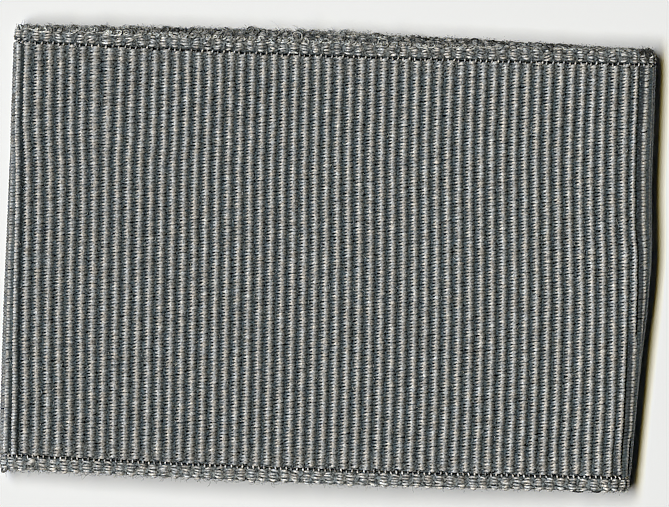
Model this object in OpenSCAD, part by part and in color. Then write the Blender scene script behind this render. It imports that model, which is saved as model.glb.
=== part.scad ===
// Slip-on shoulder loop of ribbed ribbon, lying flat with its face up.
// X runs from fold to fold, Y along the ribs to the knitted selvedge, Z up out of the face.
// One length of ribbon makes the face, both folds and the back, where its two ends are lapped.

/* [Loop] */
// Width from fold to fold, at the knitted selvedge
loop_w = 54.4; // [50:0.1:60]
// Thickness over both layers, at a fold
fold_t = 3.4; // [3.2:0.1:4]
// Rise of the face between the folds
crown_h = 0.8; // [0.4:0.1:1.2]
// How far the face sags to the turned selvedge, half way between the folds
face_bow = 0.25; // [0:0.05:0.5]
// How far the back stands out at the knitted selvedge, half way between the folds
back_bow = 0.45; // [0:0.05:0.8]
// Height of the soft wave in the face beside the right fold
wave_h = 0.12; // [0:0.01:0.2]

/* [Ribbon] */
// Thickness over the ribs
rib_t = 1; // [0.8:0.05:1.1]
// Thickness in the valleys between the ribs
valley_t = 0.5; // [0.4:0.05:0.6]
// Spacing of the ribs
rib_pitch = 0.9375; // [0.9:0.0005:1]
// Lean of the ribs from square to the selvedges, in degrees
rib_lean = 1.16; // [0:0.01:3]
// Width of the ribbed web between the selvedges
web_w = 34.8; // [30:0.1:40]

/* [Selvedges] */
// Width of each selvedge
selvedge_w = 1.12; // [0.6:0.01:1.5]
// Gap between the web and each selvedge
selvedge_gap = 0.1; // [0.05:0.01:0.2]
// Thickness of the knitted selvedge over its loops
knitted_t = 1; // [0.8:0.05:1.1]
// Thickness of the turned selvedge over its floats
turned_t = 0.9; // [0.8:0.05:1.1]
// Thickness of both selvedges between their floats
ladder_t = 0.65; // [0.5:0.05:0.75]

/* [Lap] */
// Overlap of the two ends at the middle of the back
lap_w = 8; // [6:0.5:12]
// Place of the outer end, right of the middle
end_x = 4; // [3:0.01:5]
// Gap between the lapped ends
lap_gap = 0.1; // [0.05:0.01:0.2]
// Steepest slope where the ribbon steps up onto the lap, in degrees
step_a = 30; // [20:1:40]

/* [Hidden] */

grey = [0.43, 0.44, 0.43];
pale_grey = [0.5, 0.51, 0.5];

// Share of the rib spacing that the flat top of a rib takes
crest_share = 0.36;

// How far the right fold stands out past loop_w: [place across the ribbon, shift]
right_fold = [
    [-18.5, -1.0],
    [-6.6, -0.27],
    [0.3, 0.29],
    [18.5, 0]];

// Centreline of the folds, and how far the face slopes where it leaves them
fold_r = (fold_t - rib_t) / 2;
floor_z = rib_t / 2;
half_flat = (loop_w - fold_t) / 2;
crown_a = atan(4 * crown_h / (2 * half_flat));
fold_turn = 180 - crown_a;
fold_len = fold_r * fold_turn * PI / 180;

// The step up onto the lap is two arcs, and ends clear of the outer end
step_rise = rib_t + lap_gap;
step_r = step_rise / 2 / (1 - cos(step_a));
step_len = step_r * step_a * PI / 180;
step_clear = 1;
step_x = end_x + step_clear + 2 * step_r * sin(step_a);

// The wave in the face: its middle and its length along X
wave_x = 21.7;
wave_len = 7.4;

// Whole ribs in the cut length, which is the path once round and the overlap
around = 2 * fold_len + 4 * half_flat - 2 * step_r * sin(step_a) + 2 * step_len;
rib_n = round((around + lap_w) / rib_pitch);

// Length of the face between the folds, on the row v across the ribbon
function face_len(v) =
    (2 * half_flat + lookup(v, right_fold) + 2 * fold_r * sin(crown_a))
    * (crown_a * PI / 180) / sin(crown_a);

// Bends along the ribbon from its outer end, on the row v: [length, turn in degrees]
function bends(v) = [
    [half_flat + end_x, 0],
    [fold_len, -fold_turn],
    [face_len(v), -2 * crown_a],
    [fold_len, -fold_turn],
    [half_flat + lookup(v, right_fold) - step_x, 0],
    [step_len, -step_a],
    [step_len, step_a],
    [lap_w, 0]];

// Moves at = [x, z, heading] on by a length, while it turns by an angle
function ahead(at, length, turn) =
    turn == 0
    ? [at[0] + length * cos(at[2]), at[1] + length * sin(at[2]), at[2]]
    : let (r = length * 180 / PI / turn)
      [
          at[0] + r * (sin(at[2] + turn) - sin(at[2])),
          at[1] + r * (cos(at[2]) - cos(at[2] + turn)),
          at[2] + turn];

// Place and heading at the length s along the bends
function along(bends, s, at, i = 0) =
    s <= bends[i][0] || i == len(bends) - 1
    ? ahead(at, s, bends[i][1] * s / bends[i][0])
    : along(bends, s - bends[i][0], ahead(at, bends[i][0], bends[i][1]), i + 1);

// The wave at x fades out a wave's length from its middle
function wave(x) =
    abs(x - wave_x) < wave_len
    ? wave_h * sin(360 * (x - wave_x) / wave_len) * pow(cos(90 * (x - wave_x) / wave_len), 2)
    : 0;

// Height added to the layer at x, and its shift along Y
function lift(x, heading) = cos(heading) > 0 ? wave(x) * cos(heading) : 0;
function bow(x, heading) =
    let (share = cos(90 * min(abs(x) / half_flat, 1)))
    cos(heading) > 0 ? -face_bow * share : back_bow * share;

// The two surface points, outside and inside, at the rib coordinate u on the row v
function skins(u, v, t) =
    let (
        at = along(bends(v), u - v * tan(rib_lean), [end_x, floor_z, 180]),
        x = at[0],
        y = v + bow(x, at[2]),
        z = at[1] + lift(x, at[2]),
        out = [-sin(at[2]), 0, cos(at[2])] * t / 2)
    [[x, y, z] + out, [x, y, z] - out];

// Stations of the web: a valley, then for each rib its flat top and the next valley: [u, thickness]
web_stations = concat(
    [[0, valley_t]],
    [
        for (k = [0 : rib_n - 1])
        for (s = [[(1 - crest_share) / 2, rib_t], [(1 + crest_share) / 2, rib_t], [1, valley_t]])
        [(k + s[0]) * rib_pitch, s[1]]]);

// Stations of a selvedge, whose floats lie half way between the ribs: [u, thickness]
function ladder_stations(t) = [
    for (k = [0 : 2 * rib_n])
    [k * rib_pitch / 2, k % 2 == 0 ? t : ladder_t]];

// Rows across the ribbon, with those inside the web where the right fold's line bends
web_rows = [-web_w / 2, right_fold[1][0], right_fold[2][0], web_w / 2];
inner_row = web_w / 2 + selvedge_gap;
outer_row = inner_row + selvedge_w;
knitted_rows = [inner_row, outer_row];
turned_rows = [-outer_row, -inner_row];

// All surface points of a band, by station, row and skin
function band_points(stations, rows) = [
    for (s = stations)
    for (v = rows)
    for (p = skins(s[0], v, s[1]))
    p];

// The middle of the whole loop seen from above becomes the origin
web_points = band_points(web_stations, web_rows);
knitted_points = band_points(ladder_stations(knitted_t), knitted_rows);
turned_points = band_points(ladder_stations(turned_t), turned_rows);
function middle(points, axis) =
    let (a = [for (p = points) p[axis]])
    (min(a) + max(a)) / 2;
every_point = concat(web_points, knitted_points, turned_points);
centre = [middle(every_point, 0), middle(every_point, 1), 0];

// A closed band through its surface points, from the number of stations n and of rows m
module band(points, n, m) {
    function at(i, j, skin) = (i * m + j) * 2 + skin;
    outside = [
        for (i = [0 : n - 2], j = [0 : m - 2])
        [at(i, j, 0), at(i, j + 1, 0), at(i + 1, j + 1, 0), at(i + 1, j, 0)]];
    inside = [
        for (i = [0 : n - 2], j = [0 : m - 2])
        [at(i, j, 1), at(i + 1, j, 1), at(i + 1, j + 1, 1), at(i, j + 1, 1)]];
    edges = [
        for (i = [0 : n - 2])
        for (f = [
            [at(i, 0, 0), at(i + 1, 0, 0), at(i + 1, 0, 1), at(i, 0, 1)],
            [at(i + 1, m - 1, 0), at(i, m - 1, 0), at(i, m - 1, 1), at(i + 1, m - 1, 1)]])
        f];
    ends = [
        for (j = [0 : m - 2])
        for (f = [
            [at(0, j + 1, 0), at(0, j, 0), at(0, j, 1), at(0, j + 1, 1)],
            [at(n - 1, j, 0), at(n - 1, j + 1, 0), at(n - 1, j + 1, 1), at(n - 1, j, 1)]])
        f];
    translate(-centre)
        polyhedron(points = points, faces = concat(outside, inside, edges, ends));
}

module ribbed_web() {
    color(grey)
        band(web_points, len(web_stations), len(web_rows));
}

module knitted_selvedge() {
    color(pale_grey)
        band(knitted_points, 2 * rib_n + 1, len(knitted_rows));
}

module turned_selvedge() {
    color(pale_grey)
        band(turned_points, 2 * rib_n + 1, len(turned_rows));
}

ribbed_web();
knitted_selvedge();
turned_selvedge();
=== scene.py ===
# Looks of a slip-on shoulder loop of ribbed ribbon, lying on its back on a pale surface.
# Every yarn is placed in the ribbon's own coordinates: u along the ribbon, v across it along
# the ribs, h out of its middle surface. ribbon() folds these into the loop. All in millimetres.

import math

import bpy
import numpy as np
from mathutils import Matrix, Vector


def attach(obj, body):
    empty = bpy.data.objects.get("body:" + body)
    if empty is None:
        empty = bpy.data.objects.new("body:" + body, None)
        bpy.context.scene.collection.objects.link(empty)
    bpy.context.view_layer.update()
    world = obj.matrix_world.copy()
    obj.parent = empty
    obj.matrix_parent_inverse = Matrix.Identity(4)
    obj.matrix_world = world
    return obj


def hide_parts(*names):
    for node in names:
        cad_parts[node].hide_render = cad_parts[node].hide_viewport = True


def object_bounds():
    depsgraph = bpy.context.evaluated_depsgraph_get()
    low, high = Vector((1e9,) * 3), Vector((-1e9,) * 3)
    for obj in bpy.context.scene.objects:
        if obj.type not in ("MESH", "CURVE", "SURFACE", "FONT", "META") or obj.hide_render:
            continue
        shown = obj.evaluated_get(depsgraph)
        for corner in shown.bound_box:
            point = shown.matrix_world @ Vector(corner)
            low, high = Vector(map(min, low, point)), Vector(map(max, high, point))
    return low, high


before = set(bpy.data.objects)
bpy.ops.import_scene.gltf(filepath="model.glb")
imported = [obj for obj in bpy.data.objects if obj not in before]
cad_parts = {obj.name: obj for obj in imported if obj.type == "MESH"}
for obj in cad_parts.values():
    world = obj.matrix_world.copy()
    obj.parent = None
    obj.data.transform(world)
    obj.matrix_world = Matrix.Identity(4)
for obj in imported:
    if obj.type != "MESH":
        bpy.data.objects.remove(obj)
cad_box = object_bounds()

MM = 0.001
rng = np.random.default_rng(38)

# The loop, as its solids have it
LOOP_W = 54.4
FOLD_T = 3.4
CROWN_H = 0.8
FACE_BOW = 0.25
BACK_BOW = 0.45
WAVE_H = 0.12
WAVE_X = 21.7
WAVE_LEN = 7.4
LAP_W = 8.0
END_X = 4.0
LAP_GAP = 0.1
STEP_A = math.radians(30)
STEP_CLEAR = 1.0

# The ribbon
RIB_T = 1.0
PITCH = 0.9375
LEAN = math.radians(1.16)
WEB_EDGE = 17.4
BAND_START = 17.5
BAND_EDGE = 18.62
RIB_COUNT = 125

# How far the left fold swells at its outermost, how much further around one place along it, and
# the middle and reach of that place
FULL_FOLD = 0.15
FULLEST_FOLD = 0.08
FULLEST_V = (-4, 4)
# How far the right fold is flattened at its outermost
FLAT_FOLD = 0.08
# How far out from the middle both changes begin, and are full
OUTERMOST_X = (26.2, 27.2)

# Line of the right fold: place across the ribbon, and how far the fold stands out there. It is
# the solids' line with two more places
RIGHT_FOLD_V = [-18.5, -6.6, -3.2, 0.3, 2.7, 6.9]
RIGHT_FOLD_OUT = [-1.0, -0.27, 0.07, 0.29, 0.24, 0.0]

# Values that follow from them
FOLD_R = (FOLD_T - RIB_T) / 2
FLOOR_Z = RIB_T / 2
HALF_FLAT = (LOOP_W - FOLD_T) / 2
CROWN_A = math.atan(4 * CROWN_H / (2 * HALF_FLAT))
FOLD_TURN = math.pi - CROWN_A
FOLD_LEN = FOLD_R * FOLD_TURN
STEP_R = (RIB_T + LAP_GAP) / 2 / (1 - math.cos(STEP_A))
STEP_LEN = STEP_R * STEP_A
STEP_X = END_X + STEP_CLEAR + 2 * STEP_R * math.sin(STEP_A)
AROUND = 2 * FOLD_LEN + 4 * HALF_FLAT - 2 * STEP_R * math.sin(STEP_A) + 2 * STEP_LEN
LENGTH = RIB_COUNT * PITCH
FACE_START = HALF_FLAT + END_X + FOLD_LEN
FACE_MIDDLE = FACE_START + HALF_FLAT
# Round the folds the ribs keep their spacing on the outer side, so they lie closer on the
# middle surface, and spread again along the back
FOLD_GATHER = 1 - FOLD_R / (FOLD_R + RIB_T / 2)
GATHERED = FOLD_LEN / (1 - FOLD_GATHER)
SPREAD_LEN = 17.0


def fade(x, start, end):
    """Smooth step from 0 at start to 1 at end."""
    t = np.clip((x - start) / (end - start), 0, 1)
    return t * t * (3 - 2 * t)


def bump(x, middle, reach):
    """Smooth hump of height 1."""
    return np.exp(-(((x - middle) / reach) ** 2))


def right_fold(v):
    """Line of the right fold, rounded where its stretches meet."""
    reach = 0.8
    return sum(np.interp(v + d, RIGHT_FOLD_V, RIGHT_FOLD_OUT) for d in (-reach, 0, reach)) / 3


def bends(v):
    """The ribbon's bends from its outer end, on the row v: (length, turn)."""
    stretch = CROWN_A / math.sin(CROWN_A)
    face_len = (2 * HALF_FLAT + right_fold(v) + 2 * FOLD_R * math.sin(CROWN_A)) * stretch
    return [
        (HALF_FLAT + END_X, 0),
        (FOLD_LEN, -FOLD_TURN),
        (face_len, -2 * CROWN_A),
        (FOLD_LEN, -FOLD_TURN),
        (HALF_FLAT + right_fold(v) - STEP_X, 0),
        (STEP_LEN, -STEP_A),
        (STEP_LEN, STEP_A),
        (LAP_W, 0),
    ]


# Places on the face where a few ribs stray: x and v of each, its reach along both, and the
# shift to the right
STRAY_RIBS = [
    (18, 13, 6, 6, -0.06),
    (21.5, 15, 1.3, 4, 0.05),
    (24.3, 14, 1.3, 4, -0.05),
    (-18.1, 11, 1.3, 3.5, -0.07),
    (20.8, -14.5, 2.5, 3, -0.06),
    (20, -2.5, 3, 2.5, 0.05),
    (-1, 1.5, 10, 4, 0.04),
    (-21.5, 3, 2.5, 3, 0.05),
    (-25.3, 13, 0.7, 5, -0.09)]
# Small waves in all ribs: turn along v, turn along x and phase, and their height
WAVERING = ((0.9, 0.5, 0.3), (1.7, -1.1, 2.1), (0.6, 2.3, 4.0), (2.6, 1.9, 5.2))
WAVERING_SHIFT = 0.006
# How far out from the face's middle the ribs are even again, and where that begins
EVEN_X = (34, 27)


def drift(u, v):
    """How far the ribs stray from even spacing. Most of it is the sway of the face's right half,
    and the spreading of its ribs at the top left."""
    x = u - FACE_MIDDLE
    start = 0.04 * fade(-x, 0, 9) - 0.04
    sway = 0.08 * bump(v, -6.5, 6.5) - 0.14 * bump(v, 9, 6) - 0.07 * fade(-v, 12, 16)
    left = 0.09 * fade(-v, 7, 13) - 0.19 * fade(v, 6, 11)
    middle = (0.1 + 0.12 * fade(v, 7.8, 9.8) + 0.07 * fade(v, 10, 16)) * bump(x, -15, 9)
    apart = left + (middle - left) * fade(x, -20.3, -18.3)
    corner = -0.1 * fade(v, 1, 4) * fade(x, 20, 23)
    wobble = sum(WAVERING_SHIFT * np.sin(v * f + x * g + c) for f, g, c in WAVERING)
    spots = sum(shift * bump(x, a, c) * bump(v, b, d) for a, b, c, d, shift in STRAY_RIBS)
    strays = start + sway * fade(x, -16, 16) + apart + corner + spots + wobble
    return strays * fade(np.abs(x), *EVEN_X) + gather(u, v)


def gather(u, v):
    """How far the ribs are drawn back from even spacing by the folds."""
    x = u - v * math.tan(LEAN) - FACE_MIDDLE
    drawn = 0
    for sign, reach in ((-1, HALF_FLAT), (1, HALF_FLAT + right_fold(v))):
        past = sign * x - reach
        back = np.clip(past, 0, GATHERED) * fade(past, GATHERED + SPREAD_LEN, GATHERED)
        drawn = drawn - sign * FOLD_GATHER * back
    return drawn


def wave(x):
    """The soft wave in the face."""
    near = np.clip(np.abs(x - WAVE_X) / WAVE_LEN, 0, 1)
    return WAVE_H * np.sin(2 * np.pi * (x - WAVE_X) / WAVE_LEN) * np.cos(np.pi / 2 * near) ** 2


def unplaced(u, v, h):
    """Folds ribbon coordinates into the loop, before it is set on its origin."""
    u, v, h = np.broadcast_arrays(np.asarray(u, float), v, h)
    left = u - v * math.tan(LEAN) + drift(u, v)
    x = np.full(u.shape, END_X)
    z = np.full(u.shape, FLOOR_Z)
    heading = np.full(u.shape, math.pi)
    path = bends(v)
    for i, (length, turn) in enumerate(path):
        least = -np.inf if i == 0 else 0
        most = np.inf if i == len(path) - 1 else length
        step = np.clip(left, least, most)
        if turn:
            r = length / turn
            turned = heading + turn * step / length
            x = x + r * (np.sin(turned) - np.sin(heading))
            z = z + r * (np.cos(heading) - np.cos(turned))
            heading = turned
        else:
            x = x + step * np.cos(heading)
            z = z + step * np.sin(heading)
        left = left - length
    face = np.cos(heading) > 0
    x = x - (FULL_FOLD + FULLEST_FOLD * bump(v, *FULLEST_V)) * fade(-x, *OUTERMOST_X)
    x = x - FLAT_FOLD * fade(x, *OUTERMOST_X)
    share = np.cos(np.pi / 2 * np.clip(np.abs(x) / HALF_FLAT, 0, 1))
    y = v + np.where(face, -FACE_BOW, BACK_BOW) * share
    z = z + np.where(face, wave(x) * np.cos(heading), 0)
    return np.stack([x - np.sin(heading) * h, y, z + np.cos(heading) * h], -1)


def find_offset():
    """From the middle of the folded ribbon to the middle of its solids, seen from above."""
    u, v = np.meshgrid(np.arange(0, LENGTH, 0.2), [-BAND_EDGE, -WEB_EDGE, 0, WEB_EDGE, BAND_EDGE])
    mine = unplaced(u, v, RIB_T / 2).reshape(-1, 3)
    middle = (mine.min(0) + mine.max(0)) / 2
    solids = (np.array(cad_box[0]) + np.array(cad_box[1])) / 2 / MM
    return np.array([solids[0] - middle[0], solids[1] - middle[1], 0])


OFFSET = find_offset()


def ribbon(points):
    """Points (..., 3) in ribbon coordinates, set in the loop."""
    return unplaced(points[..., 0], points[..., 1], points[..., 2]) + OFFSET


def make_piece(name, points, faces, corners, material, values):
    """A mesh piece from points, lists of faces and of their corners on the bake map, and
    named values for each point."""
    mesh = bpy.data.meshes.new(name)
    sizes = np.concatenate([np.full(len(f), f.shape[1]) for f in faces])
    mesh.vertices.add(len(points))
    mesh.vertices.foreach_set("co", (points * MM).ravel())
    mesh.loops.add(int(sizes.sum()))
    mesh.loops.foreach_set("vertex_index", np.concatenate([f.ravel() for f in faces]))
    mesh.polygons.add(len(sizes))
    mesh.polygons.foreach_set("loop_start", np.concatenate([[0], np.cumsum(sizes)[:-1]]))
    mesh.update(calc_edges=True)
    mesh.validate()
    mesh.shade_smooth()
    bake_map = mesh.uv_layers.new(name="OFBake")
    bake_map.data.foreach_set("uv", np.concatenate([c.ravel() for c in corners]))
    for key, numbers in values.items():
        mesh.attributes.new(key, "FLOAT", "POINT").data.foreach_set("value", numbers.ravel())
    mesh.materials.append(material)
    piece = bpy.data.objects.new(name, mesh)
    bpy.context.scene.collection.objects.link(piece)
    return piece


def skin_faces(n, m, q, closed, columns=None):
    """Quads over n strips of m stations with q points each, and their corners on the bake map,
    where each stretch between two stations has a cell of its own."""
    around = q if closed else q - 1
    i, j, k = np.meshgrid(np.arange(n), np.arange(m - 1), np.arange(around), indexing="ij")
    cell = i * (m - 1) + j
    columns = columns or math.ceil(math.sqrt(n * (m - 1)))
    rows = math.ceil(n * (m - 1) / columns)
    quads, corners = [], []
    for dj, dk in ((0, 0), (1, 0), (1, 1), (0, 1)):
        quads.append((i * m + j + dj) * q + (k + dk) % q)
        corners.append(np.stack([
            (cell % columns + dj) / columns,
            (cell // columns + (k + dk) / around) / rows], -1))
    return np.stack(quads, -1).reshape(-1, 4), np.stack(corners, -2).reshape(-1, 4, 2)


def end_faces(n, m, q):
    """The two end faces of n closed strips, and a small corner of the bake map for each."""
    first = np.arange(n)[:, None] * m * q + np.arange(q)
    faces = np.concatenate([first[:, ::-1], first + (m - 1) * q])
    turn = np.arange(q) * 2 * np.pi / q
    corner = 0.005 + 0.004 * np.stack([np.cos(turn), np.sin(turn)], -1)
    return faces, np.broadcast_to(corner, (2 * n, q, 2))


def strands(name, path, half_w, half_h, profile, closed, material, tone, painted_shade=0.0):
    """Yarns along path (n, m, 3), of the given half width and half height (n, m) at each station.
    profile lists the points of the cross-section, each (across, up). tone is the shade of grey of
    a yarn or of each of its stations, and the last argument is each station's painted shade, from
    0 for the crest colour to 1 for the darker colour."""
    n, m, _ = path.shape
    along = np.gradient(path, axis=1)
    along /= np.linalg.norm(along, axis=-1, keepdims=True)
    across = np.cross(along, [0.0, 0.0, 1.0])
    across /= np.linalg.norm(across, axis=-1, keepdims=True) + 1e-9
    up = np.cross(across, along)
    profile = np.array(profile, float)
    q = len(profile)
    points = (
        path[:, :, None]
        + across[:, :, None] * (half_w[..., None] * profile[:, 0])[..., None]
        + up[:, :, None] * (half_h[..., None] * profile[:, 1])[..., None])
    quads, corners = skin_faces(n, m, q, closed)
    faces, maps = [quads], [corners]
    if closed:
        ends, end_corners = end_faces(n, m, q)
        faces.append(ends)
        maps.append(end_corners)
    tone = np.asarray(tone, float)
    if tone.ndim == 1:
        tone = tone[:, None]
    values = {
        "tone": np.broadcast_to(tone[..., None], (n, m, q)),
        "painted_shade": np.broadcast_to(np.asarray(painted_shade, float)[..., None], (n, m, q))}
    return make_piece(name, ribbon(points).reshape(-1, 3), faces, maps, material, values)


def ring(sides):
    turn = np.arange(sides) * 2 * np.pi / sides
    return np.stack([np.cos(turn), np.sin(turn)], -1)


def round_yarns(name, u, v, h, half, sides, material, tone):
    """Yarns as thick as they are wide, with closed ends."""
    return strands(name, np.stack([u, v, h], -1), half, half, ring(sides), True, material, tone)


def pairs(a, b):
    """Each of a with each of b, as two flat arrays."""
    return [each.ravel() for each in np.meshgrid(a, b, indexing="ij")]


def swept(name, stations, rows, height, painted_shade, material, tone=1.0):
    """A closed band: its outer side over rows at +height, and its inner side at -height.
    height(u, v, side) is measured from the middle surface, and the function after it gives the
    painted shade, as for a yarn."""
    ring_v = np.concatenate([rows, rows[::-1]])
    side = np.concatenate([np.ones(len(rows)), -np.ones(len(rows))])
    u = np.broadcast_to(stations[:, None], (len(stations), len(ring_v)))
    v = np.broadcast_to(ring_v, u.shape)
    side = np.broadcast_to(side, u.shape)
    points = ribbon(np.stack([u, v, side * height(u, v, side)], -1)).reshape(-1, 3)
    q = len(ring_v)
    quads, corners = skin_faces(1, len(stations), q, True, columns=len(stations) - 1)
    ends, end_corners = end_faces(1, len(stations), q)
    values = {"tone": np.full(u.shape, tone), "painted_shade": np.ascontiguousarray(painted_shade(u, v, side))}
    return make_piece(name, points, [quads, ends], [corners, end_corners], material, values)


# Materials

def new_material(name):
    material = bpy.data.materials.new(name)
    material.use_nodes = True
    tree = material.node_tree
    return material, tree, tree.nodes["Principled BSDF"]


def noise_node(tree, place, scale, detail):
    """Noise over the object's own coordinates, so many to the metre along each axis."""
    mapping = tree.nodes.new("ShaderNodeMapping")
    mapping.inputs["Scale"].default_value = scale
    tree.links.new(place.outputs["Object"], mapping.inputs["Vector"])
    noise = tree.nodes.new("ShaderNodeTexNoise")
    noise.inputs["Scale"].default_value = 1
    noise.inputs["Detail"].default_value = detail
    tree.links.new(mapping.outputs["Vector"], noise.inputs["Vector"])
    return noise


# Most of a noise lies in this range
NOISE_RANGE = (0.36, 0.64)


def map_range(tree, source, low, high):
    """A noise's usual range, spread from low to high."""
    node = tree.nodes.new("ShaderNodeMapRange")
    node.inputs["From Min"].default_value, node.inputs["From Max"].default_value = NOISE_RANGE
    node.inputs["To Min"].default_value = low
    node.inputs["To Max"].default_value = high
    tree.links.new(source, node.inputs["Value"])
    return node


def mix_colours(tree, factor, a, b):
    node = tree.nodes.new("ShaderNodeMix")
    node.data_type = "RGBA"
    node.inputs["A"].default_value = (*a, 1)
    node.inputs["B"].default_value = (*b, 1)
    tree.links.new(factor, node.inputs["Factor"])
    return node


WARM_CAST = (1.05, 1.0, 0.95)
COOL_CAST = (0.96, 1.0, 1.05)


def yarn(name, crest, shade_colour, roughness=0.65, fleck=0.4, specular=0.5, grain=(5500, 7500, 7500)):
    """Spun grey yarn. The mesh gives each yarn a tone, and each point a painted shade that darkens
    it from the crest colour towards the darker colour.
    """
    material, tree, shader = new_material(name)
    nodes, links = tree.nodes, tree.links
    place = nodes.new("ShaderNodeTexCoord")
    fibres = noise_node(tree, place, grain, 4)
    patches = noise_node(tree, place, (2200, 1500, 2200), 1)
    painted_shade = nodes.new("ShaderNodeAttribute")
    painted_shade.attribute_name = "painted_shade"
    tone = nodes.new("ShaderNodeAttribute")
    tone.attribute_name = "tone"
    colour = mix_colours(tree, painted_shade.outputs["Fac"], crest, shade_colour)
    cast = mix_colours(tree, map_range(tree, patches.outputs["Fac"], 0, 1).outputs["Result"],
                       WARM_CAST, COOL_CAST)
    dyed = nodes.new("ShaderNodeVectorMath")
    dyed.operation = "MULTIPLY"
    links.new(colour.outputs["Result"], dyed.inputs[0])
    links.new(cast.outputs["Result"], dyed.inputs[1])
    strength = nodes.new("ShaderNodeMath")
    strength.operation = "MULTIPLY"
    links.new(map_range(tree, fibres.outputs["Fac"], 1 - fleck, 1 + fleck).outputs["Result"],
              strength.inputs[0])
    links.new(tone.outputs["Fac"], strength.inputs[1])
    tinted = nodes.new("ShaderNodeVectorMath")
    tinted.operation = "SCALE"
    links.new(dyed.outputs["Vector"], tinted.inputs["Vector"])
    links.new(strength.outputs["Value"], tinted.inputs["Scale"])
    links.new(tinted.outputs["Vector"], shader.inputs["Base Color"])
    raised = nodes.new("ShaderNodeBump")
    raised.inputs["Strength"].default_value = 0.5
    raised.inputs["Distance"].default_value = 0.02 * MM
    links.new(fibres.outputs["Fac"], raised.inputs["Height"])
    links.new(raised.outputs["Normal"], shader.inputs["Normal"])
    lay = nodes.new("ShaderNodeTangent")
    lay.direction_type = "UV_MAP"
    lay.uv_map = "OFBake"
    links.new(lay.outputs["Tangent"], shader.inputs["Tangent"])
    shader.inputs["Roughness"].default_value = roughness
    shader.inputs["Anisotropic"].default_value = 0.7
    shader.inputs["Anisotropic Rotation"].default_value = 0.25
    shader.inputs["Specular IOR Level"].default_value = specular
    return material


# Yarn colours: each material mixes its first colour towards its second by the painted shade of each
# point. The darker second colours are painted shade: of the ribs' valleys and flanks, of the core
# under the warp yarns and of the groove beside the web, and of the ladder floats' sunk ends.
CREST = (0.413, 0.408, 0.387)
VALLEY_SHADE = (0.077, 0.097, 0.102)
DEEP_SHADE = (0.0435, 0.055, 0.058)
SHADED = (0.122, 0.132, 0.129)
LADDER_SHADE_COLOUR = (0.085, 0.097, 0.097)
LOOP_CREST = (0.285, 0.292, 0.275)
COARSE = (5500, 5500, 5500)
warp_yarn = yarn("warp_yarn", CREST, VALLEY_SHADE)
selvedge_yarn = yarn("selvedge_yarn", CREST, LADDER_SHADE_COLOUR)
core_yarn = yarn("core_yarn", CREST, DEEP_SHADE, roughness=0.9, fleck=1, specular=0.15, grain=COARSE)
band_yarn = yarn("band_yarn", SHADED, DEEP_SHADE, roughness=0.9, fleck=0.8, specular=0.15, grain=COARSE)
loop_yarn = yarn("loop_yarn", LOOP_CREST, VALLEY_SHADE, fleck=0.5)


# The web under its warp yarns

def rib_phase(u):
    """0 at a rib's crest, and a half either way in the valleys."""
    return (u / PITCH) % 1 - 0.5


def arch(x, half_w):
    """Half a circle of this half width, from 1 at its middle to 0."""
    return np.sqrt(np.clip(1 - (x / half_w) ** 2, 0, 1))


# Half thickness of the core at the ribs' crests and in their valleys, on the outer side and
# where the inner side shows, and at the edges. The arch of a rib in rib pitches, for both sides
CORE_H = 0.3
CORE_VALLEY = 0.1
INNER_VALLEY = 0.22
EDGE_H = 0.07
CORE_ARCH = 0.38
INNER_ARCH = 0.47
# How far from the middle the core begins to thin, and is as thin as its edges
CORE_EDGE = (17.3, 17.38)
# How far from the middle the warp yarns leave the core bare, and how much less painted shade it has
# there
BARE_EDGE = (17.25, 17.35)
BARE_LESS_SHADE = 0.28
# Inside the loop, warp yarns are made this far in from the web's edges, and past that the core
# has their form
INNER_ROW = 13.4


def core_height(u, v, side):
    phase = rib_phase(u)
    away = np.abs(v)
    outer = CORE_VALLEY + (CORE_H - CORE_VALLEY) * arch(phase, CORE_ARCH)
    inner = INNER_VALLEY + (RIB_T / 2 - INNER_VALLEY) * arch(phase, INNER_ARCH)
    inner = inner + (outer - inner) * fade(away, INNER_ROW - 0.3, INNER_ROW)
    thick = np.where(side > 0, outer, inner)
    return thick + (EDGE_H - thick) * fade(away, *CORE_EDGE)


def core_shade(u, v, side):
    """Painted shade: dark where warp yarns cover the core, a little less where they leave it bare,
    and on the inner side darker down in the valleys.
    """
    open_side = (side < 0) & (np.abs(v) < INNER_ROW)
    covered = 1 - BARE_LESS_SHADE * fade(np.abs(v), *BARE_EDGE)
    return np.where(open_side, 1 - 0.8 * arch(rib_phase(u), 0.5), covered)


# Stations to a rib along the web, and its rows, which lie closer at the edges
STEPS = 6
web_u = np.arange(RIB_COUNT * STEPS + 1) * PITCH / STEPS
end_rows = np.array([INNER_ROW, 15.4, 17.3, 17.36, WEB_EDGE])
middle_rows = np.linspace(0.3 - INNER_ROW, INNER_ROW - 0.3, 9)
web_rows = np.concatenate([-end_rows[::-1], middle_rows, end_rows])
core = swept("web_core", web_u, web_rows, core_height, core_shade, core_yarn)


# Warp yarns over the ribs

FLOAT_PITCH = 0.271
FLOAT_ROW = 17.32
PER_RIB = round(2 * FLOAT_ROW / FLOAT_PITCH)
# A yarn over a rib, from its left end: place along the rib pitch, height, half width,
# half thickness and painted shade, darker on the left flank and down in the valleys. On the left it
# stands clear of its neighbours, on the right it doesn't
FLOAT = np.array([
    (-0.5, 0.14, 0.068, 0.08, 1.0),
    (-0.35, 0.27, 0.08, 0.09, 0.9),
    (-0.2, 0.425, 0.082, 0.1, 0.2),
    (-0.02, 0.495, 0.136, 0.05, 0.0),
    (0.15, 0.455, 0.136, 0.04, 0.15),
    (0.34, 0.29, 0.11, 0.05, 0.6),
    (0.5, 0.14, 0.07, 0.07, 0.9)])
# The same with fewer places, for the back and the inside
PLAIN_FLOAT = FLOAT[[0, 2, 3, 4, 6]]
# Cross-section of such a yarn, open below where the core lies
FLOAT_PROFILE = np.array([(1, -1), (0.5, -0.15), (-0.5, -0.15), (-1, -1)])


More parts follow.
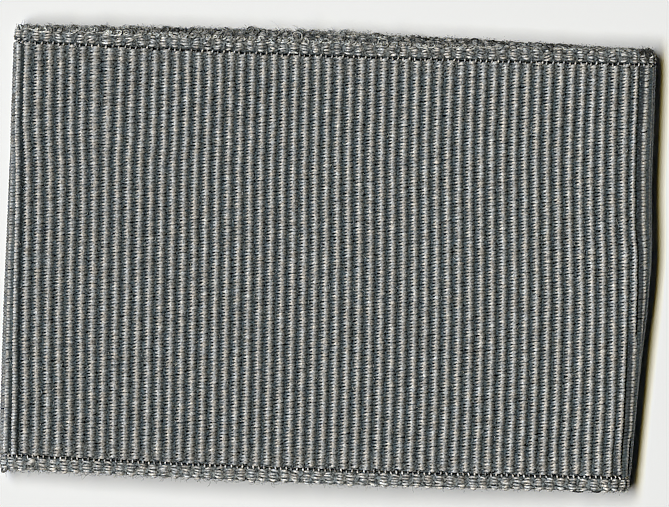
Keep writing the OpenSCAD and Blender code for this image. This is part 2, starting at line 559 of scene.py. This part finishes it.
def look(painted_shade, least=0, half=FLOAT[:, 2], share=1):
    """How a rib's yarns look: for each place painted shade, least height, half width and share of
    tone, which paints light and shade as well.
    """
    return np.array([np.broadcast_to(a, len(FLOAT)) for a in (painted_shade, least, half, share)], float)


# Looks of a rib from the face round each fold, where the web is stretched and only part of each
# rib is light: their painted shade darkens the rest, and a share of tone below one is painted
# shade and above one painted light. TURNS says how far past the start of the fold each look after
# the first begins and is full
LEFT_FOLD_LOOKS = np.array([
    look(FLOAT[:, 4]),
    look([0.4, 0.1, 0, 0, 0.55, 1, 1], [0, 0.3, 0.46, 0, 0, 0, 0], 0.12,
         [1, 1, 1.1, 1.1, 0.9, 0.45, 0.5]),
    look([0.4, 0.1, 0, 0, 0.5, 1, 1], [0, 0.3, 0.46, 0, 0, 0, 0], 0.12,
         [1, 1.1, 1.42, 1.42, 1.05, 0.45, 0.5]),
    look([1, 1, 0.95, 0.8, 0, 1, 0.9], 0, [0.15, 0.15, 0.13, 0.115, 0.112, 0.12, 0.15],
         [1, 1, 1, 1, 1.12, 1, 1]),
    look(0.5, half=0.13)])
LEFT_FOLD_TURNS = [0.3, 0.4, 0.85, 1.15, 1.5, 1.65, 1.85, 2.1]
RIGHT_FOLD_LOOKS = np.array([
    look(FLOAT[:, 4]),
    look([1, 1, 1, 0, 0, 0.35, 0.7], [0, 0, 0, 0, 0.48, 0.43, 0.39],
         [0.1, 0.11, 0.11, 0.115, 0.112, 0.13, 0.15], [0.3, 0.25, 0.3, 1.1, 1.3, 1, 1]),
    look([0.8, 1, 1, 0.5, 1, 1, 1], [0.39, 0.43, 0.47, 0, 0, 0, 0], 0.15)])
RIGHT_FOLD_TURNS = [0.75, 1.0, 1.65, 1.9]
# The face is as light on its right as on its left, which lies nearer to the light, so its tones
# rise by this share with each millimetre to the right: painted light that evens out the light's
# fall
TONE_RISE = 0.003


def fold_look(past, turns, looks):
    """Painted shade, least height, half width and share of tone, each (ribs, places), for ribs that
    lie this far past the start of the fold."""
    at = np.interp(past, turns, np.arange(1, len(turns) + 1) // 2)
    first = np.minimum(at.astype(int), len(looks) - 2)
    on = (at - first)[:, None, None]
    return np.moveaxis(looks[first] * (1 - on) + looks[first + 1] * on, 1, 0)


def warp_floats(name, ribs, rows, shape=FLOAT, side=1):
    """Yarns over these ribs, one after the other along each rib, with neighbouring ribs half a
    yarn apart. side is -1 on the inside of the loop."""
    p0, top, half, thick, float_shade = shape.T
    k, j = pairs(ribs, rows)
    n = len(k)
    row = -FLOAT_ROW + (j + 0.25 + 0.5 * (k % 2)) * FLOAT_PITCH + rng.normal(0, 0.011, n)
    tilt = rng.normal(0.17, 0.07, n)
    lift = np.clip(rng.normal(0, 0.01, n), -0.03, 0.005)
    fat = np.clip(rng.normal(1, 0.1, n), 0.7, 1.2)
    slip = rng.normal(0, 0.012, n)
    p = p0 + slip[:, None]
    u = np.clip((k[:, None] + 0.5 + p) * PITCH, 0.03, LENGTH - 0.03)
    v = row[:, None] + tilt[:, None] * p * PITCH
    h = side * (top + lift[:, None])
    even = 1 + TONE_RISE * ((k + 0.5) * PITCH - FACE_MIDDLE) if shape is FLOAT else 1
    tone = np.tile((np.clip(rng.normal(1, 0.1, n), 0.6, 1.4) * even)[:, None], (1, len(shape)))
    # Right of the crest the yarns touch, so only their left parts differ in width
    half = half * np.where(p0 < -0.1, fat[:, None], 1)
    float_shade = np.tile(float_shade, (n, 1))
    if shape is FLOAT:
        x = (k + 0.5) * PITCH - row * math.tan(LEAN) - FACE_MIDDLE
        folds = (
            (-x - HALF_FLAT, LEFT_FOLD_TURNS, LEFT_FOLD_LOOKS),
            (x - HALF_FLAT - right_fold(row), RIGHT_FOLD_TURNS, RIGHT_FOLD_LOOKS))
        # Round the folds the looks set painted shade, and their share of tone paints shade and
        # light
        for past, turns, looks in folds:
            on = past > turns[0]
            float_shade[on], least, half[on], share = fold_look(past[on], turns, looks)
            h[on] = np.maximum(h[on], least)
            tone[on] *= share
    return strands(name, np.stack([u, v, h], -1), half, np.broadcast_to(thick, u.shape),
                   side * FLOAT_PROFILE, False, warp_yarn, tone, float_shade)


# First rib of the face and its folds, first rib past them, and first rib that the lap covers
FACE_FROM, FACE_TO = 31, 94
LAP_FROM = math.ceil(AROUND / PITCH)
FACE_RIBS = np.arange(FACE_FROM, FACE_TO)
BACK_RIBS = np.concatenate([np.arange(FACE_FROM), np.arange(FACE_TO, LAP_FROM)])
ALL_ROWS = np.arange(PER_RIB)
END_ROWS = ALL_ROWS[np.abs((ALL_ROWS + 0.5) * FLOAT_PITCH - FLOAT_ROW) > INNER_ROW]
web_pieces = [
    warp_floats("face_warp_a", FACE_RIBS[FACE_RIBS % 2 == 0], ALL_ROWS),
    warp_floats("face_warp_b", FACE_RIBS[FACE_RIBS % 2 == 1], ALL_ROWS),
    warp_floats("back_warp_a", BACK_RIBS[BACK_RIBS % 2 == 0], ALL_ROWS, PLAIN_FLOAT),
    warp_floats("back_warp_b", BACK_RIBS[BACK_RIBS % 2 == 1], ALL_ROWS, PLAIN_FLOAT),
    warp_floats("inner_warp", np.arange(1, RIB_COUNT - 1), END_ROWS, PLAIN_FLOAT, -1),
]


# Selvedges

# Half thickness of a selvedge where the blocks of the ladder lie, and between them
BAND_H = 0.3
BAND_LOW = 0.26
# How far from the middle the groove beside the web begins to rise, and is level with the rest
GROOVE_RISE = (17.54, 17.64)
# How far from the middle the groove's painted shade begins to end, and its most
GROOVE_SHADE_ENDS = (17.54, 17.7)
GROOVE_SHADE = 0.6
# Where a selvedge begins to round off to its edge, and how far that takes
ROUND_START = 18.2
ROUND_R = 0.43
# Where the blocks of the ladder lie, from the valleys between the ribs, in rib pitches
TURNED_SHIFT = 0.16
KNITTED_SHIFT = 0.28


def selvedge(name, sign, shift, tone):
    """A selvedge under its yarns: high where the blocks of the ladder lie, with painted shade in
    the groove beside the web.
    """
    def height(u, v, side):
        high = 0.5 + 0.5 * np.cos(2 * np.pi * (u / PITCH - shift))
        full = BAND_LOW + (BAND_H - BAND_LOW) * high
        away = np.abs(v)
        risen = EDGE_H + (full - EDGE_H) * fade(away, *GROOVE_RISE)
        return risen * arch(np.clip(away - ROUND_START, 0, 1), ROUND_R)

    def painted_shade(u, v, side):
        return GROOVE_SHADE * (1 - fade(np.abs(v), *GROOVE_SHADE_ENDS))

    stations = np.arange(4 * RIB_COUNT + 1) * PITCH / 4
    rows = sign * np.array([BAND_START, 17.54, 17.59, 17.64, 18.2, 18.38, 18.5, 18.58, BAND_EDGE])
    if sign < 0:
        rows = rows[::-1]
    return swept(name, stations, rows, height, painted_shade, band_yarn, tone)


# Each row of the ladder: place across the ribbon and height of its floats, as the selvedge
# is gone round from its outer side to its inner side
LADDER = np.array([
    (17.72, 0.36),
    (17.96, 0.42),
    (18.2, 0.41),
    (18.43, 0.31),
    (18.59, 0.08),
    (18.56, -0.15),
    (18.41, -0.32),
    (18.18, -0.41),
    (17.94, -0.41),
    (17.76, -0.36)])
# Along each float, from its left end: place in rib pitches from the middle of its block, how far
# it has sunk, half width and painted shade, darker at its sunk ends
LADDER_P = np.array([-0.32, -0.2, -0.07, 0.06, 0.19, 0.34])
LADDER_DROP = np.array([0.24, 0.09, 0.0, 0.0, 0.1, 0.26])
LADDER_HALF = np.array([0.045, 0.07, 0.095, 0.11, 0.11, 0.07])
LADDER_SHADE = np.array([0.8, 0.25, 0.0, 0.1, 0.5, 0.9])
# Floats past this place are the ladder's rim, and stand out by this much of their rim value, which
# also paints them lighter
RIM_START = 18.4
RIM_OUT = 0.2
# Place that the ends of the floats sink to, and how far any of them stands out in height
SINK_V = 18.1
LADDER_H = 0.42


def ladder(name, sign, shift, wide, unruly, lean, light, rim_out_and_light):
    """The floats of a selvedge. wide is their length against LADDER_P and unruly how much it
    differs, lean is how much their lean differs, light is their tone, and the last argument is how
    much lighter the floats at its outer edge are painted, as painted light, and how far they stand
    out."""
    k, row = pairs(np.arange(1, RIB_COUNT), np.arange(len(LADDER)))
    n = len(k)
    v0, h0 = LADDER[row].T
    at_rim = v0 > RIM_START
    v0 = v0 + RIM_OUT * rim_out_and_light * at_rim
    tilt = rng.normal(0.05, lean, n)
    stretch = rng.normal(wide, unruly, n)[:, None]
    slip = rng.normal(0, unruly / 2, n)[:, None]
    p = shift + LADDER_P * stretch + slip
    u = (k[:, None] + p) * PITCH
    # Ends of a float sink into the selvedge
    inward = np.stack([-0.3 * (v0 - SINK_V), -h0], -1)
    inward /= np.linalg.norm(inward, axis=-1, keepdims=True)
    stray = rng.normal(0, 0.028, (2, n, 1))
    v = v0[:, None] + inward[:, :1] * LADDER_DROP + tilt[:, None] * (p - shift) * PITCH + stray[0]
    h = np.clip(h0[:, None] + inward[:, 1:] * LADDER_DROP + stray[1], -LADDER_H, LADDER_H)
    fat = np.clip(rng.normal(1, 0.12, n), 0.75, 1.2)
    half = LADDER_HALF * fat[:, None]
    # Floats on the rim are painted lighter: painted light
    tone = np.clip(rng.normal(light, 0.22, n), 0.45, 1.5) * (1 + rim_out_and_light * at_rim)
    return strands(name, np.stack([u, sign * v, h], -1), half, half * 0.7, ring(5), True,
                   selvedge_yarn, tone, np.broadcast_to(LADDER_SHADE, half.shape))


# Weft that shows as dots in the groove between web and selvedge: phase along the ribbon, place
# across it, and lean
WEFT = np.array([(-0.2, 17.42, 0.01), (0.32, 17.5, 0.04)])


def weft(name, sign, outward, tone):
    """Two dots for each rib, this much further outward than WEFT says."""
    k, which = pairs(np.arange(RIB_COUNT), [0, 1])
    n = len(k)
    phase, place, lean = WEFT[which].T
    t = np.array([-1, -0.6, 0, 0.6, 1])
    v = (place + outward + rng.normal(0, 0.025, n))[:, None] + 0.13 * t
    lean = lean + rng.normal(0, 0.02, n)
    u = (k + 0.5 + phase + rng.normal(0, 0.03, n))[:, None] * PITCH + lean[:, None] * t
    u = np.clip(u, 0.1, LENGTH - 0.1)
    h = 0.31 + rng.normal(0, 0.02, n)[:, None] - 0.2 * t ** 2
    half = np.array([0.04, 0.07, 0.08, 0.07, 0.04]) * rng.normal(1, 0.1, n)[:, None]
    tone = np.clip(rng.normal(tone, 0.25, n), 0.4, 1.6)
    return round_yarns(name, u, sign * v, h, half, 5, selvedge_yarn, tone)


turned = selvedge("turned_band", -1, TURNED_SHIFT, tone=1.15)
knitted = selvedge("knitted_band", 1, KNITTED_SHIFT, tone=0.9)
band_pieces = [
    ladder("turned_ladder", -1, TURNED_SHIFT,
           wide=1.32, unruly=0.09, lean=0.1, light=1.08, rim_out_and_light=0.25),
    ladder("knitted_ladder", 1, KNITTED_SHIFT,
           wide=1.1, unruly=0.1, lean=0.17, light=1.06, rim_out_and_light=0),
    weft("turned_weft", -1, outward=0.04, tone=1.05),
    weft("knitted_weft", 1, outward=-0.03, tone=0.85),
]


# Loops of the knitted edge: an arch for each rib, and curly yarns that run through it

# A loop stands out of the middle surface no further than this
LOOP_H = 0.44
# How far right of the face's middle the loops begin to lie lower, and lie lowest. The arches there
# are also painted darker, as painted shade
CALM_X = (2, 18)
# Each curly yarn: turns to the rib, half sizes of a turn along u, v and h, place across the
# ribbon, height, half width and tone
CURLS = {
    "knitted_curl_a": (0.9, 0.42, 0.26, 0.2, 18.6, 0.05, 0.085, 1.0),
    "knitted_curl_b": (1.5, 0.26, 0.2, 0.22, 18.58, -0.12, 0.085, 0.75),
    "knitted_curl_c": (1.2, 0.3, 0.15, 0.12, 18.6, 0.15, 0.065, 1.2),
    "knitted_curl_d": (1.7, 0.24, 0.15, 0.15, 18.72, 0.0, 0.065, 0.8)}


def along_turns(t, spread, middle=0.0):
    """A value that wanders from turn to turn."""
    turns = math.ceil(t[-1]) + 1
    return np.interp(t, np.arange(turns), rng.normal(middle, spread, turns))


def knitted_curl(name, per_rib, wide, tall, thick, place, height, half, tone):
    """A curly yarn along the edge. wide, tall and thick are the half sizes of a turn along u, v
    and h."""
    turns = round(per_rib * (RIB_COUNT - 2))
    per_turn = 9
    t = np.arange(turns * per_turn + 1) / per_turn
    u = PITCH + t / turns * (LENGTH - 2 * PITCH)
    lively = 1 - 0.6 * fade(u - FACE_MIDDLE, *CALM_X)
    turn = 2 * np.pi * (t + along_turns(t, 0.35))
    size = along_turns(t, 0.4, 0.9)
    u = u + wide * size * np.sin(turn)
    v = place + lively * (along_turns(t, 0.07) - tall * size * np.cos(turn))
    h = height + along_turns(t, 0.08) + thick * np.sin(turn + along_turns(t, 0.8))
    h = np.clip(lively * h, -LOOP_H, LOOP_H)
    u = np.clip(u, 0.1, LENGTH - 0.1)
    half = np.full((1, len(t)), half)
    tone = np.clip(along_turns(t, 0.4, tone), 0.2, 2.0)
    return round_yarns(name, u[None], v[None], h[None], half, 5, loop_yarn, tone[None])


def knitted_arches():
    """A loop of yarn for each rib, which stands out from the edge."""
    k = np.arange(1, RIB_COUNT)
    n = len(k)
    t = np.linspace(-1, 1, 11)
    wide = rng.normal(0.27, 0.05, n)[:, None]
    tall = np.clip(rng.normal(0.4, 0.12, n), 0.12, 0.58)[:, None]
    middle = (k + KNITTED_SHIFT + rng.normal(0, 0.1, n))[:, None] * PITCH
    calm = fade(middle - FACE_MIDDLE, *CALM_X)
    tall = tall * (1 - 0.25 * calm)
    swell = np.sin(np.pi * np.abs(t)) * 0.08
    bulge = 1 - t ** 2
    u = middle + wide * t + swell * np.sign(t) + rng.normal(0, 0.12, n)[:, None] * bulge
    v = 18.4 + tall * bulge ** 0.6
    h = np.clip(rng.normal(0.05, 0.16, n)[:, None] * bulge + 0.12 * t, -LOOP_H, LOOP_H)
    half = np.broadcast_to(rng.normal(0.075, 0.012, n)[:, None], u.shape)
    # Arches on the right are painted darker: painted shade
    tone = np.clip(rng.normal(0.9, 0.35, n), 0.3, 1.8) * (1 - 0.6 * calm[:, 0])
    u = np.clip(u, 0.1, LENGTH - 0.1)
    return round_yarns("knitted_arches", u, v, h, half, 5, loop_yarn, tone)


band_pieces.append(knitted_arches())
for name, curl in CURLS.items():
    band_pieces.append(knitted_curl(name, *curl))


# Single yarns that stray from the edges of the face: x and v of each, its width, how far it
# stands out along Y, its height above the middle surface, its half thickness and tone. The two at
# the bottom with tone 0.15 are loops of yarn painted dark, as painted shadow under them
STRAYS = np.array([
    (-3.18, 18.75, 0.84, 0.62, 0.43, 0.055, 1.3),
    (-3.47, 17.6, 0.68, 0.05, 0.46, 0.075, 1.9),
    (22.04, -18.5, 1.0, -0.24, 0.1, 0.075, 0.15),
    (23.56, -18.5, 0.7, -0.23, 0.1, 0.075, 0.15),
    (-9.2, 18.7, 0.6, 0.45, 0.3, 0.05, 0.6),
    (4.1, 18.7, 0.75, 0.4, 0.35, 0.05, 1.2),
    (-27.35, -18.5, 0.85, -0.38, 0.2, 0.11, 0.5)])


def stray_yarns():
    """A low arch for each of these yarns."""
    x, v0, wide, out, height, half, tone = [c[:, None] for c in STRAYS.T]
    t = np.linspace(-1, 1, 13)
    u = FACE_MIDDLE + x + v0 * math.tan(LEAN) + wide / 2 * np.sin(t * np.pi * 0.6)
    v = v0 + out * (1 - np.abs(t) ** 2.4)
    h = height - 0.15 * np.abs(t) ** 4
    half = np.broadcast_to(half, u.shape)
    return round_yarns("stray_yarns", u, v, h, half, 6, loop_yarn, tone[:, 0])


# Fuzz

# A fibre stands out of the middle surface no further than this
HAIR_H = 0.53
# How far right of the face's middle the fuzz begins to be shorter, and is shortest
SHORT_X = (0, 16)


def hairs(name, u0, v0, h0, way, long, half, tone):
    """Fine curved fibres from their roots. way is each one's direction over the ribbon, where 0
    is along v."""
    n = len(u0)
    t = np.linspace(0, 1, 4)
    curl = rng.normal(0, 2, n)[:, None]
    turned = way[:, None] + curl * t
    long = long[:, None]
    u = np.clip(u0[:, None] + long * np.sin(turned) * t, 0.1, LENGTH - 0.1)
    v = v0[:, None] + long * np.cos(turned) * t
    h = np.clip(h0[:, None] + rng.normal(0, 0.12, n)[:, None] * t * long, -HAIR_H, HAIR_H)
    half = half * (1 - 0.5 * t) * np.ones((n, 1))
    return round_yarns(name, u, v, h, half, 3, loop_yarn, tone)


def edge_fuzz(name, sign, count, place, length, half, tone):
    """Fibres that stand out from the edge on one side of the ribbon."""
    u0 = rng.uniform(1, LENGTH - 1, count)
    v0 = sign * rng.normal(place, 0.12, count)
    way = rng.normal(0, 0.6, count) + (sign < 0) * np.pi
    h0 = rng.normal(0, 0.2, count)
    long = rng.gamma(4, length / 4, count) * (1 - 0.6 * fade(u0 - FACE_MIDDLE, *SHORT_X))
    return hairs(name, u0, v0, h0, way, long, half, tone * rng.uniform(0.5, 1.5, count))


def face_hairs(count):
    """Fibres that lie across the ribs of the face."""
    u0 = FACE_MIDDLE + rng.uniform(-27, 27, count)
    long = rng.gamma(4, 0.075, count)
    return hairs("face_hairs", u0, rng.uniform(-17.2, 17.2, count), rng.uniform(0.3, 0.5, count),
                 np.pi / 2 + rng.normal(0, 0.8, count), long, 0.016, rng.uniform(0.8, 2.4, count))


def corner_tuft(count):
    """Dark loose fibres where the knitted edge goes round the right fold."""
    u0 = FACE_MIDDLE + HALF_FLAT + 1.5 + rng.normal(0, 0.28, count)
    v0 = 18.4 + rng.normal(0, 0.15, count)
    return hairs("corner_tuft", u0, v0, rng.uniform(0.2, 0.5, count), rng.uniform(-1.8, 1.8, count),
                 rng.uniform(0.25, 0.6, count), 0.035, rng.uniform(0.1, 0.5, count))


band_pieces += [
    stray_yarns(),
    edge_fuzz("knitted_fuzz", 1, 2400, place=18.72, length=0.22, half=0.019, tone=0.85),
    edge_fuzz("knitted_hairs", 1, 50, place=18.7, length=0.6, half=0.008, tone=1),
    edge_fuzz("turned_fuzz", -1, 1900, place=18.56, length=0.27, half=0.019, tone=1.1),
    corner_tuft(70),
]
web_pieces.append(face_hairs(1300))


# Stitches of the lap, two rows that lie in valleys of the back

STITCH_VALLEYS = (2, 7)
STITCH_PLACES = np.arange(-16.3, 16.4, 2.5)
STITCH_LEN = 2.2


def lap_stitches():
    k, v0 = pairs(STITCH_VALLEYS, STITCH_PLACES)
    u0 = k * PITCH
    t = np.linspace(-1, 1, 7)
    v = v0[:, None] + STITCH_LEN / 2 * t
    u = np.broadcast_to(u0[:, None], v.shape)
    sunk = np.abs(t) ** 6
    h = np.broadcast_to(0.33 - 0.24 * sunk, v.shape)
    half = np.broadcast_to(0.11 * (1 - 0.4 * sunk), v.shape)
    return round_yarns("lap_stitches", u, v, h, half, 6, loop_yarn, rng.normal(1.3, 0.05, len(k)))


web_pieces.append(lap_stitches())


# What rides on what

for piece in [core, *web_pieces]:
    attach(piece, "root")
for piece in [turned, knitted, *band_pieces]:
    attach(piece, "root")
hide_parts("ribbed_web")
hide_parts("turned_selvedge")
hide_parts("knitted_selvedge")


# Surface, light and camera

# How far the floor lies below the solids, because the yarns of the edges reach lower than they do
FLOOR_DROP = 0.03


def make_floor():
    far = 1.5
    z = -FLOOR_DROP * MM
    corners = [(-far, -far, z), (far, -far, z), (far, far, z), (-far, far, z)]
    mesh = bpy.data.meshes.new("floor")
    mesh.from_pydata(corners, [], [(0, 1, 2, 3)])
    material, _, shader = new_material("floor_paper")
    shader.inputs["Base Color"].default_value = (0.79, 0.79, 0.782, 1)
    shader.inputs["Roughness"].default_value = 0.9
    shader.inputs["Specular IOR Level"].default_value = 0.2
    mesh.materials.append(material)
    floor = bpy.data.objects.new("floor", mesh)
    bpy.context.scene.collection.objects.link(floor)


# How bright the light is across its width, from its lower side to its upper side, and how far
# this lies lower for red, green and blue. The scan's colours fall from slightly different
# places, which tints the edge of its shadow
ACROSS_LIGHT = [0.129, 0.13, 0.75, 1.0, 1.001]
BRIGHTNESS = [0, 1, 1, 0.2, 0]
COLOUR_LAG = (0, 0.028, 0.118)


def strip_light(name, elevation, distance, wide, long, shift_y, power):
    """A long light beside the object: it runs along Y, and elevation is seen along Y."""
    data = bpy.data.lights.new(name, "AREA")
    data.shape = "RECTANGLE"
    data.size = wide
    data.size_y = long
    data.energy = power
    data.use_nodes = True
    nodes, links = data.node_tree.nodes, data.node_tree.links
    place = nodes.new("ShaderNodeNewGeometry")
    split = nodes.new("ShaderNodeSeparateXYZ")
    bands = nodes.new("ShaderNodeValToRGB")
    stops = bands.color_ramp.elements
    count = 32
    while len(stops) < count:
        stops.new(1)
    for i, stop in enumerate(stops):
        t = i / (count - 1)
        stop.position = t
        stop.color = (*(np.interp(t + lag, ACROSS_LIGHT, BRIGHTNESS) for lag in COLOUR_LAG), 1)
    links.new(place.outputs["Parametric"], split.inputs["Vector"])
    links.new(split.outputs["X"], bands.inputs["Fac"])
    links.new(bands.outputs["Color"], nodes["Emission"].inputs["Color"])
    light = bpy.data.objects.new(name, data)
    angle = math.radians(elevation)
    light.location = (-distance * math.cos(angle), shift_y, distance * math.sin(angle))
    light.rotation_euler = (0, -(math.pi / 2 - angle), 0)
    bpy.context.scene.collection.objects.link(light)


make_floor()
strip_light("key", elevation=68.5, distance=2.0, wide=0.62, long=1.74, shift_y=0.02, power=70.5)

scene = bpy.context.scene
world = bpy.data.worlds.new("room")
scene.world = world
world.use_nodes = True
world.node_tree.nodes["Background"].inputs["Color"].default_value = (0.8, 0.9, 1, 1)
world.node_tree.nodes["Background"].inputs["Strength"].default_value = 0.003
scene.view_settings.view_transform = "Standard"
scene.view_settings.look = "None"


def scanned(sharpening, fine, black):
    """The scan was sharpened: the picture less its own blur is added to it, in display tones.
    sharpening lists amount and reach of each go, fine is the share of one that goes by single
    pixels, and black is the tone that it shows as black."""
    scene.use_nodes = True
    tree = scene.node_tree
    nodes, links = tree.nodes, tree.links
    nodes.clear()
    layers = nodes.new("CompositorNodeRLayers")
    tones = nodes.new("CompositorNodeGamma")
    tones.inputs["Gamma"].default_value = 1 / 2.2
    links.new(layers.outputs["Image"], tones.inputs["Image"])
    picture = tones
    for amount, reach in sharpening:
        soft = nodes.new("CompositorNodeBlur")
        soft.filter_type = "GAUSS"
        soft.size_x = soft.size_y = reach
        detail = nodes.new("CompositorNodeMixRGB")
        detail.blend_type = "SUBTRACT"
        added = nodes.new("CompositorNodeMixRGB")
        added.blend_type = "ADD"
        added.inputs["Fac"].default_value = amount
        links.new(picture.outputs["Image"], soft.inputs["Image"])
        links.new(picture.outputs["Image"], detail.inputs[1])
        links.new(soft.outputs["Image"], detail.inputs[2])
        links.new(picture.outputs["Image"], added.inputs[1])
        links.new(detail.outputs["Image"], added.inputs[2])
        picture = added
    crisp = nodes.new("CompositorNodeFilter")
    crisp.filter_type = "SHARPEN_DIAMOND"
    crisp.inputs["Fac"].default_value = fine
    darker = nodes.new("CompositorNodeMixRGB")
    darker.blend_type = "SUBTRACT"
    darker.inputs[2].default_value = (black, black, black, 0)
    linear = nodes.new("CompositorNodeGamma")
    linear.inputs["Gamma"].default_value = 2.2
    out = nodes.new("CompositorNodeComposite")
    links.new(picture.outputs["Image"], crisp.inputs["Image"])
    links.new(crisp.outputs["Image"], darker.inputs[1])
    links.new(darker.outputs["Image"], linear.inputs["Image"])
    links.new(linear.outputs["Image"], out.inputs["Image"])


scanned(((0.75, 2), (0.08, 16)), 0.08, 0.02)

# The photograph is a flat scan: a very long lens straight above, with the object turned a little.
# AIM is the place in the middle of the picture
IMAGE_W = 669
PIXEL = 0.08467
SCAN_TILT = math.radians(2.1)
LENS = 1000
SENSOR = 36
AIM = (0.49, 0.47)
camera_data = bpy.data.cameras.new("camera")
camera_data.lens = LENS
camera_data.sensor_width = SENSOR
camera_data.clip_start = 0.01
camera_data.clip_end = 10
camera = bpy.data.objects.new("camera", camera_data)
camera.location = (AIM[0] * MM, AIM[1] * MM, IMAGE_W * PIXEL * MM * LENS / SENSOR)
camera.rotation_euler = (0, 0, SCAN_TILT)
scene.collection.objects.link(camera)
scene.camera = camera
